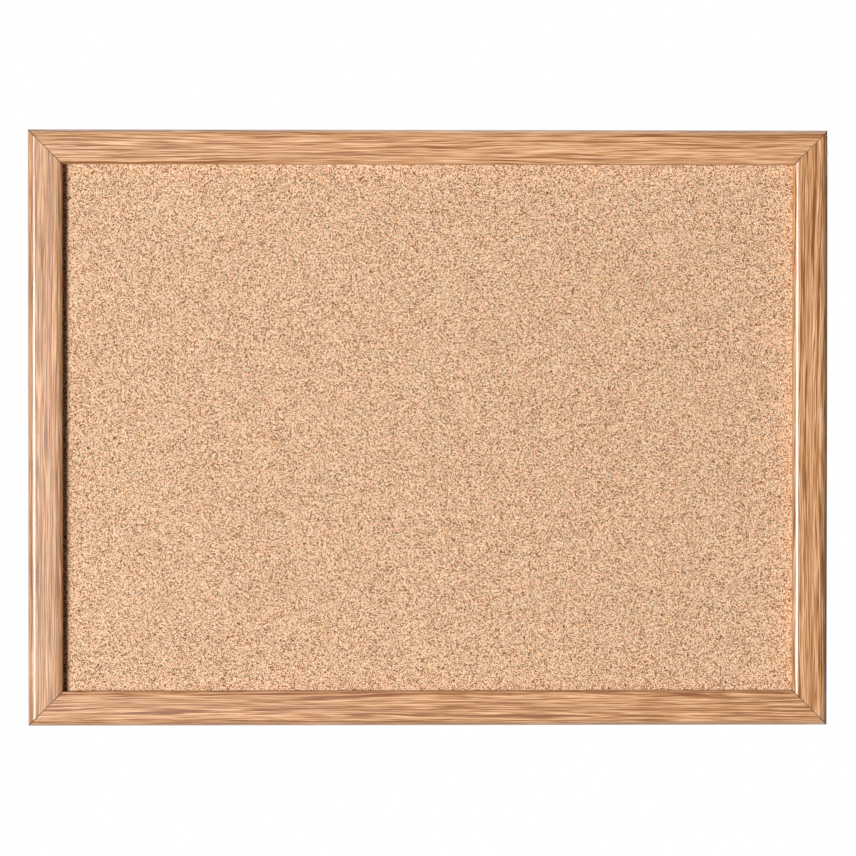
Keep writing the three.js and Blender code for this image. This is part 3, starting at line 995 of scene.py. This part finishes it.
# %% Lay the foil's map on a rail
# Per rail: top, right, bottom, left. The tones paint the top rail lighter than the bottom, and the
# fades paint a pale sheen, strongest on the left rail.
PRINT_STRENGTH = (0.94, 1.01, 1.02, 0.93)
PRINT_TONE_AND_LIGHT = (0.622, 0.566, 0.518, 0.463)
PRINT_FADE_AND_SHEEN = (0.02, 0.0, 0.05, 0.15)
PRINT_STEP = (1.7, 0.11)
ON_FOIL = 0.02 * MM
NEAR_FOIL = 0.2 * MM
MITRE_REACH = 27 * MM
NARROW_AREA = 1e-6


def lay_foil(piece, length, number):
    """Adds the foil's map and the distance to the mitre, and finds the faces that are foiled."""
    run = np.array(foil_run)
    steps = np.diff(run, axis=0)
    lengths = np.hypot(*steps.T)
    starts = np.concatenate([[0], np.cumsum(lengths)])[:-1]

    def nearest(points):
        """How far points of the section lie from the foil's run, and how far along it."""
        offset = points[:, None, :] - run[None, :-1, :]
        share = np.clip((offset * steps).sum(2) / (lengths**2), 0, 1)
        gap = np.linalg.norm(offset - share[..., None] * steps, axis=2)
        rows, best = np.arange(len(points)), gap.argmin(1)
        return gap[rows, best], (starts + share * lengths)[rows, best]

    mesh = piece.data
    spots = np.array([v.co for v in mesh.vertices])
    around = nearest(np.stack([-spots[:, 2], -spots[:, 1]], 1))[1]
    layer = mesh.uv_layers.new(name="foil")
    for loop in mesh.loops:
        v = loop.vertex_index
        place = (spots[v, 0] + PRINT_STEP[0] * number, around[v] + PRINT_STEP[1] * number)
        layer.data[loop.index].uv = place
    carried = {
        "print_strength": np.full(len(spots), PRINT_STRENGTH[number]),
        "print_tone": np.full(len(spots), PRINT_TONE_AND_LIGHT[number]),
        "print_fade": np.full(len(spots), PRINT_FADE_AND_SHEEN[number]),
        "mitre_distance": np.maximum(length / 2 + spots[:, 2] - np.abs(spots[:, 0]), 0),
    }
    for label, values in carried.items():
        spread = mesh.attributes.new(label, "FLOAT", "POINT")
        spread.data.foreach_set("value", values.astype(np.float32))
    middles = np.array([f.center for f in mesh.polygons])
    gap = nearest(np.stack([-middles[:, 2], -middles[:, 1]], 1))[0]
    for face, off in zip(mesh.polygons, gap):
        at_mitre = off < NEAR_FOIL and abs(face.center.x) > length / 2 - MITRE_REACH
        narrow = len(face.vertices) == 4 and face.area < NARROW_AREA and abs(face.normal.x) < 0.9
        face.material_index = 0 if off < ON_FOIL or (at_mitre and narrow) else 1


# %% [markdown]
# ## Retaining points
#
# The panel is held in its rebate by flat steel points, shot into the rail by a framer's gun. Each
# is a small bar with one end cut to a tip. They sit in slots that they made themselves.

# %% Draw a retaining point
POINT_WIDTH = 6 * MM
POINT_THICKNESS = 0.5 * MM
POINT_GRIP = 5.4 * MM
POINT_REACH = 9 * MM
POINT_TIP = 2 * MM
POINT_CORNER = 1.1 * MM
point_front = frame_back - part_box("top_retaining_point_1")[0].y


def point_body(name, along, spare=0.0, run_out=0.0):
    """A retaining point in a rail's own frame. Spare makes it larger all round, as a cutter."""
    half = POINT_WIDTH / 2 + spare
    tip = -land + POINT_GRIP + spare
    free = -land - POINT_REACH + run_out
    foot = half - POINT_CORNER
    plan = [(-half, tip - POINT_TIP), (0, tip), (half, tip - POINT_TIP)]
    plan += [(half, free + POINT_CORNER), (foot, free), (-foot, free), (-half, free + POINT_CORNER)]
    levels = (-point_front - spare, -point_front + POINT_THICKNESS + spare)
    return skin(name, [[(along + x, y, z) for x, z in plan] for y in levels])


# %% Make the four rails with their points
HANGER_INSET = land / 2
SCREW_BORE = 3.56 * MM
BORE_DEPTH = 12.3 * MM
bore_profile = [
    (0, CUT_START),
    (SCREW_BORE / 2, CUT_START),
    (SCREW_BORE / 2, -BORE_DEPTH),
    (0, -BORE_DEPTH),
]
sides = [
    ("top", 0, board_width, board_height / 2),
    ("right", 90, board_height, board_right),
    ("bottom", 180, board_width, board_height / 2),
    ("left", -90, board_height, board_right),
]
screw_z = (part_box("left_hanger_screw")[0].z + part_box("left_hanger_screw")[1].z) / 2
for number, (side, turn, length, reach) in enumerate(sides):
    spin = math.radians(turn)
    rightwards, upwards = math.sin(spin), math.cos(spin)
    seat = Matrix.Translation((rightwards * reach, frame_back, board_middle + upwards * reach))
    seat = seat @ Matrix.Rotation(spin, 4, "Y")
    to_rail = seat.inverted()
    rail = rail_body(f"{side}_rail_moulding", length)
    tools = nail_tools(right=round(rightwards) or None, rise=round(upwards) or None)
    tools = [move_points(tool, to_rail) for tool in tools]
    nodes = sorted(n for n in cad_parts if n.startswith(f"{side}_retaining_point"))
    for node in nodes:
        low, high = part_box(node)
        along = (to_rail @ ((low + high) / 2)).x
        tools.append(point_body("point_tool", along, spare=0.05 * MM, run_out=2 * MM))
        point = move_points(point_body(node + "_steel", along), seat)
        break_edges(point, 0.09 * MM, angle=50)
        smooth(point)
        install(point, node, [zinc])
    if side in ("left", "right"):
        bore = turned("screw_tool", bore_profile, 32)
        place = to_rail @ Vector((rightwards * (board_right - HANGER_INSET), frame_back, screw_z))
        tools.append(move_points(bore, Matrix.Translation(place)))
    cut_away(rail, tools)
    lay_foil(rail, length, number)
    smooth(rail, angle=24)
    move_points(rail, seat)
    install(rail, f"{side}_rail", [foil, fibreboard])

# %% [markdown]
# ## Panel sheets
#
# Cork, softboard and hardboard are three sheets. Real sheets are never quite flat, so each face is
# a grid that a slow noise lifts by a few hundredths of a millimetre, and the cork's rim, cut with a
# blade, crumbles a little. The lift stays smaller than the gap under the rail's lip.

# %% Make a sheet
CRUMBS = 700
FACES_APART = 9


def sheet_body(name, node, cell, wave, wave_size, crumble=0.0):
    """A sheet on its packed box, with grids of about one cell on both faces."""
    low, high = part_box(node)
    across = max(2, round((high.x - low.x) / cell))
    up = max(2, round((high.z - low.z) / cell))
    work = bmesh.new()
    points = {}
    for y, sign in ((low.y, 1), (high.y, -1)):
        for i in range(across + 1):
            for k in range(up + 1):
                x = low.x + (high.x - low.x) * i / across
                z = low.z + (high.z - low.z) * k / up
                lift = noise.noise(Vector((x, y * FACES_APART, z)) / wave_size)
                lift = wave * (0.5 + 0.5 * lift)
                pull = crumble * abs(noise.noise(Vector((x, y, z)) * CRUMBS))
                x -= pull * (1 if i == across else -1 if i == 0 else 0)
                pull = crumble * abs(noise.noise(Vector((z, y, x)) * CRUMBS))
                z -= pull * (1 if k == up else -1 if k == 0 else 0)
                points[sign, i, k] = work.verts.new((x, y + sign * lift, z))
    for i in range(across):
        for k in range(up):
            corners = [(i, k), (i + 1, k), (i + 1, k + 1), (i, k + 1)]
            work.faces.new([points[1, a, b] for a, b in corners])
            work.faces.new([points[-1, a, b] for a, b in reversed(corners)])
    rim = [(i, 0) for i in range(across)] + [(across, k) for k in range(up)]
    rim += [(i, up) for i in range(across, 0, -1)] + [(0, k) for k in range(up, 0, -1)]
    for (i, k), (j, m) in zip(rim, rim[1:] + rim[:1]):
        work.faces.new([points[-1, i, k], points[-1, j, m], points[1, j, m], points[1, i, k]])
    bmesh.ops.recalc_face_normals(work, faces=work.faces)
    mesh = bpy.data.meshes.new(name)
    work.to_mesh(mesh)
    work.free()
    return show(name, mesh)


# %% Lay the three sheets
coarser = 1
cork_cell, board_cell = 3.2 * MM * coarser, 9 * MM * coarser
cork_face = sheet_body(
    "cork_sheet_granulate",
    "cork_sheet",
    cork_cell,
    wave=0.09 * MM,
    wave_size=0.06,
    crumble=0.35 * MM,
)
smooth(cork_face, angle=45)
install(cork_face, "cork_sheet", [cork])

core = sheet_body(
    "softboard_core_panel",
    "softboard_core",
    board_cell,
    wave=0.05 * MM,
    wave_size=0.05,
    crumble=0.3 * MM,
)
smooth(core, angle=45)
install(core, "softboard_core", [softboard])

back = sheet_body("hardboard_back_panel", "hardboard_back", board_cell, wave=0.07 * MM, wave_size=0.12)
break_edges(back, 0.25 * MM, angle=60)
smooth(back, angle=45)
install(back, "hardboard_back", [hardboard])

# %% [markdown]
# ## Hangers
#
# A strap hanger is a steel strip folded round the bar of a wire ring and screwed to the frame. The
# strip is a rounded rectangle carried along the fold, and it narrows to a half round at both ends,
# which lie on each other under the screw's head.

# %% Fold the strap
STRIP_WIDTH = 8 * MM
STRIP_THICKNESS = 0.8 * MM
STRIP_LENGTH = 23 * MM
FOLD_CENTRE = 2.1 * MM
FOLD_LINE = 1.7 * MM
FOLD_SLOPE = 26
BACK_LEG = 1.5 * MM
BEND_RADIUS = 2.4 * MM
STRIP_EDGE = 0.16 * MM


def fold_path():
    """The strip's middle line from the side, as (height above the bar, distance from the frame)."""
    fold = arc((0, FOLD_CENTRE), (FOLD_LINE, FOLD_LINE), -90, 90 + FOLD_SLOPE, 26)
    slope = math.radians(FOLD_SLOPE)
    start = Vector(fold[-1])
    down = Vector((-math.cos(slope), -math.sin(slope)))
    bend = start + down * ((start.y - BACK_LEG) / math.sin(slope))
    trim = BEND_RADIUS * math.tan(slope / 2)
    turn_centre = Vector((bend.x - trim, BACK_LEG + BEND_RADIUS))
    turned_bend = arc(turn_centre, (BEND_RADIUS, BEND_RADIUS), FOLD_SLOPE - 90, -90, 8)
    return [(-STRIP_LENGTH, STRIP_THICKNESS / 2)] + fold + turned_bend + [(-STRIP_LENGTH, BACK_LEG)]


def strip_rows(path):
    """Places along the path, close together in its round ends, with the half width at each."""
    path = [Vector(p) for p in path]
    radius = STRIP_WIDTH / 2
    angles = np.radians(np.linspace(9, 90, 12))
    ends = [(radius * (1 - math.cos(a)), radius * math.sin(a)) for a in angles]
    first = (path[1] - path[0]).normalized()
    last = (path[-1] - path[-2]).normalized()
    rows = [(path[0] + first * s, first, w) for s, w in ends]
    for i in range(1, len(path) - 1):
        rows.append((path[i], (path[i + 1] - path[i - 1]).normalized(), radius))
    rows += [(path[-1] - last * s, last, w) for s, w in reversed(ends)]
    return rows


def strap_body(name):
    """The folded strip about its own fold, with X across it."""
    rings = []
    half = STRIP_THICKNESS / 2
    for middle, ahead, width in strip_rows(fold_path()):
        normal = Vector((-ahead.y, ahead.x))
        edge = min(STRIP_EDGE, width / 2)
        ring = []
        quarters = ((width, half), (-width, half), (-width, -half), (width, -half))
        for turn, (x, y) in enumerate(quarters):
            centre = (x - math.copysign(edge, x), y - math.copysign(STRIP_EDGE, y))
            ring += arc(centre, (edge, STRIP_EDGE), 90 * turn, 90 * turn + 90, 3)
        places = [(x, middle + normal * y) for x, y in ring]
        rings.append([(x, place.y, place.x) for x, place in places])
    return skin(name, rings)


# %% [markdown]
# The ring is wire bent to a D: a straight bar, two tight corners, and a half round. Its ends meet
# in the middle of the bar, out of sight inside the fold.

# %% Bend the ring
RING_WIDTH = 13 * MM
RING_HEIGHT = 11 * MM
RING_CORNER = 2.2 * MM
RING_GAP = 0.4 * MM
WIRE = 1 * MM


def ring_line():
    """The wire's middle line in the ring's plane, from one end of the bar round to the other."""
    half = RING_WIDTH / 2
    shoulder = RING_HEIGHT - half
    line = [(RING_GAP / 2, 0.0), (RING_GAP, 0.0), (2 * MM, 0.0)]
    line += arc((half - RING_CORNER, RING_CORNER), (RING_CORNER, RING_CORNER), -90, 0, 12)
    line += arc((0, shoulder), (half, half), 0, 180, 40)
    line += arc((RING_CORNER - half, RING_CORNER), (RING_CORNER, RING_CORNER), 180, 270, 12)
    line += [(-2 * MM, 0.0), (-RING_GAP, 0.0), (-RING_GAP / 2, 0.0)]
    return [Vector(p) for p in line]


def ring_body(name):
    line = ring_line()
    rings = []
    for i, point in enumerate(line):
        ahead = (line[min(i + 1, len(line) - 1)] - line[max(i - 1, 0)]).normalized()
        normal = Vector((-ahead.y, ahead.x))
        radius = WIRE * (0.86 if i in (0, len(line) - 1) else 1.0)
        ring = []
        for a in np.linspace(0, 2 * math.pi, 20, endpoint=False):
            flat = point + normal * radius * math.cos(a)
            ring.append((flat.x, radius * math.sin(a), flat.y))
        rings.append(ring)
    return skin(name, rings)


# %% [markdown]
# The screw is turned from a profile. Its thread is a height field on the shank: the radius rises
# and falls along a helix, which needs no extra mesh and closes cleanly at the tip. The cross is cut
# with four tapering arms.

# %% Turn the screw
SCREW_SHANK = 1.75 * MM
SCREW_CORE = 1.25 * MM
SCREW_HEAD = 3.5 * MM
SCREW_LENGTH = 14.2 * MM
SCREW_TIP = 3.4 * MM
THREAD_PITCH = 1.35 * MM
THREAD_START = 2.6 * MM
THREAD_RISE = 1.2 * MM
HEAD_HEIGHT = 2 * MM
HEAD_EDGE = 0.6 * MM
CROSS_REACH = 1.9 * MM
CROSS_WIDTH = 0.9 * MM
CROSS_DEPTH = 1.3 * MM


def screw_radius(depth, angle):
    """How far the shank's surface is from its axis, at a depth below the head and an angle round it."""
    turn = (depth / THREAD_PITCH - angle / (2 * math.pi)) % 1.0
    crest = max(0.0, 1.0 - abs(turn - 0.5) / 0.3)
    fade = min(1.0, max(0.0, (depth - THREAD_START) / THREAD_RISE))
    to_tip = min(1.0, (SCREW_LENGTH - depth) / SCREW_TIP)
    return (SCREW_CORE + (SCREW_SHANK - SCREW_CORE) * crest * fade) * max(to_tip, 0.0) ** 0.85


def screw_body(name):
    """A pan-head screw about the Y axis, with the underside of its head at Y = 0."""
    angles = np.linspace(0, 2 * math.pi, 32, endpoint=False)
    rings = []
    for depth in np.linspace(SCREW_LENGTH, 0.25 * MM, 96):
        radii = [(a, screw_radius(depth, a)) for a in angles]
        rings.append([(r * math.cos(a), -depth, r * math.sin(a)) for a, r in radii])
    head = [(SCREW_CORE + 0.25 * MM, 0.0), (SCREW_HEAD - 0.15 * MM, 0.0), (SCREW_HEAD, 0.15 * MM)]
    head += arc((0, HEAD_EDGE), (SCREW_HEAD, HEAD_HEIGHT - HEAD_EDGE), 0, 90, 13)
    rings += [[(max(r, 0) * math.cos(a), y, max(r, 0) * math.sin(a)) for a in angles] for r, y in head]
    screw = skin(name, rings)
    ends = [
        (CROSS_REACH * 1.1, CROSS_WIDTH / 2 * 1.1, HEAD_HEIGHT + 0.5 * MM),
        (CROSS_REACH * 0.62, CROSS_WIDTH / 2 * 0.7, HEAD_HEIGHT - CROSS_DEPTH),
    ]
    rows = [[(-x, y, -z), (x, y, -z), (x, y, z), (-x, y, z)] for x, z, y in ends]
    arms = []
    for turn in (0, 90):
        arm = skin("cross_tool", rows)
        arms.append(move_points(arm, Matrix.Rotation(math.radians(turn), 4, "Y")))
    cut_away(screw, arms)
    return screw


# %% Hang the two hangers
STRAP_HOLE = 2 * MM
STRAP_STACK = 1.9 * MM
RING_LEAN = math.asin(0.1)
BAR_HEIGHT = 2.4 * MM
SCREW_TURNS = {"left": 23, "right": 61}
bar_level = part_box("left_hanger_strap")[0].z + STRIP_LENGTH
hole_profile = [(0, -3 * MM), (STRAP_HOLE, -3 * MM), (STRAP_HOLE, 6 * MM), (0, 6 * MM)]
hole_place = Matrix.Translation((0, 0, screw_z - bar_level))
for side, right in (("left", -1), ("right", 1)):
    x = right * (board_right - HANGER_INSET)
    strap = strap_body(f"{side}_hanger_strap_steel")
    cut_away(strap, [move_points(turned("hole_tool", hole_profile, 32), hole_place)])
    move_points(strap, Matrix.Translation((x, frame_back + SEAT_GAP, bar_level)))
    smooth(strap, angle=40)
    install(strap, f"{side}_hanger_strap", [nickel])

    ring = ring_body(f"{side}_hanger_ring_wire")
    bar_place = Matrix.Translation((x, frame_back + BAR_HEIGHT, bar_level))
    move_points(ring, bar_place @ Matrix.Rotation(RING_LEAN, 4, "X"))
    smooth(ring, angle=50)
    install(ring, f"{side}_hanger_ring", [nickel], body=f"{side}_ring")

    screw = screw_body(f"{side}_hanger_screw_steel")
    head_place = Matrix.Translation((x, frame_back + STRAP_STACK + 2 * SEAT_GAP, screw_z))
    spin = Matrix.Rotation(math.radians(SCREW_TURNS[side]), 4, "Y")
    move_points(screw, head_place @ spin)
    smooth(screw, angle=35)
    install(screw, f"{side}_hanger_screw", [nickel])

# %% [markdown]
# ## Bumpers
#
# Two felt pads keep the lower edge off the wall. Each is turned from a profile and then roughened:
# noise pulls its side in by up to a tenth of a millimetre, as cut felt does, and never pushes it
# out.

# %% Cut the felt bumpers
FELT_FUZZ = 0.12 * MM
FELT_ROUNDING = 0.8 * MM
for side in ("left", "right"):
    low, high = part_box(f"{side}_bumper")
    radius = (high.x - low.x) / 2
    profile = [(r * radius, low.y) for r in (0, 0.25, 0.5, 0.75, 0.93)]
    profile += [(radius, low.y + s * (high.y - low.y)) for s in (0.06, 0.2, 0.35, 0.5, 0.65, 0.8)]
    rim = (radius - FELT_ROUNDING, high.y - FELT_ROUNDING)
    profile += arc(rim, (FELT_ROUNDING, FELT_ROUNDING), 0, 90, 5)
    profile += [(r * radius, high.y) for r in (0.6, 0.4, 0.2, 0)]
    pad = turned(f"{side}_bumper_felt", profile, 64)
    middle = Vector(((low.x + high.x) / 2, 0, (low.z + high.z) / 2))
    for v in pad.data.vertices:
        outwards = math.hypot(v.co.x, v.co.z) / radius
        pull = FELT_FUZZ * (0.5 + 0.5 * noise.noise(Vector(v.co) * 2400 + middle * 90)) * outwards**2
        shrink = 1 - pull / radius
        v.co.x *= shrink
        v.co.z *= shrink
    move_points(pad, Matrix.Translation(middle))
    smooth(pad, angle=70)
    install(pad, f"{side}_bumper", [felt])

# %% [markdown]
#
# The dressed board should fill the imported board's box and no more. Its span is written down.

# %% Write the dressed board's box
low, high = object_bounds()
print("The dressed board spans", [round(v, 4) for v in (high - low)], "metres.")
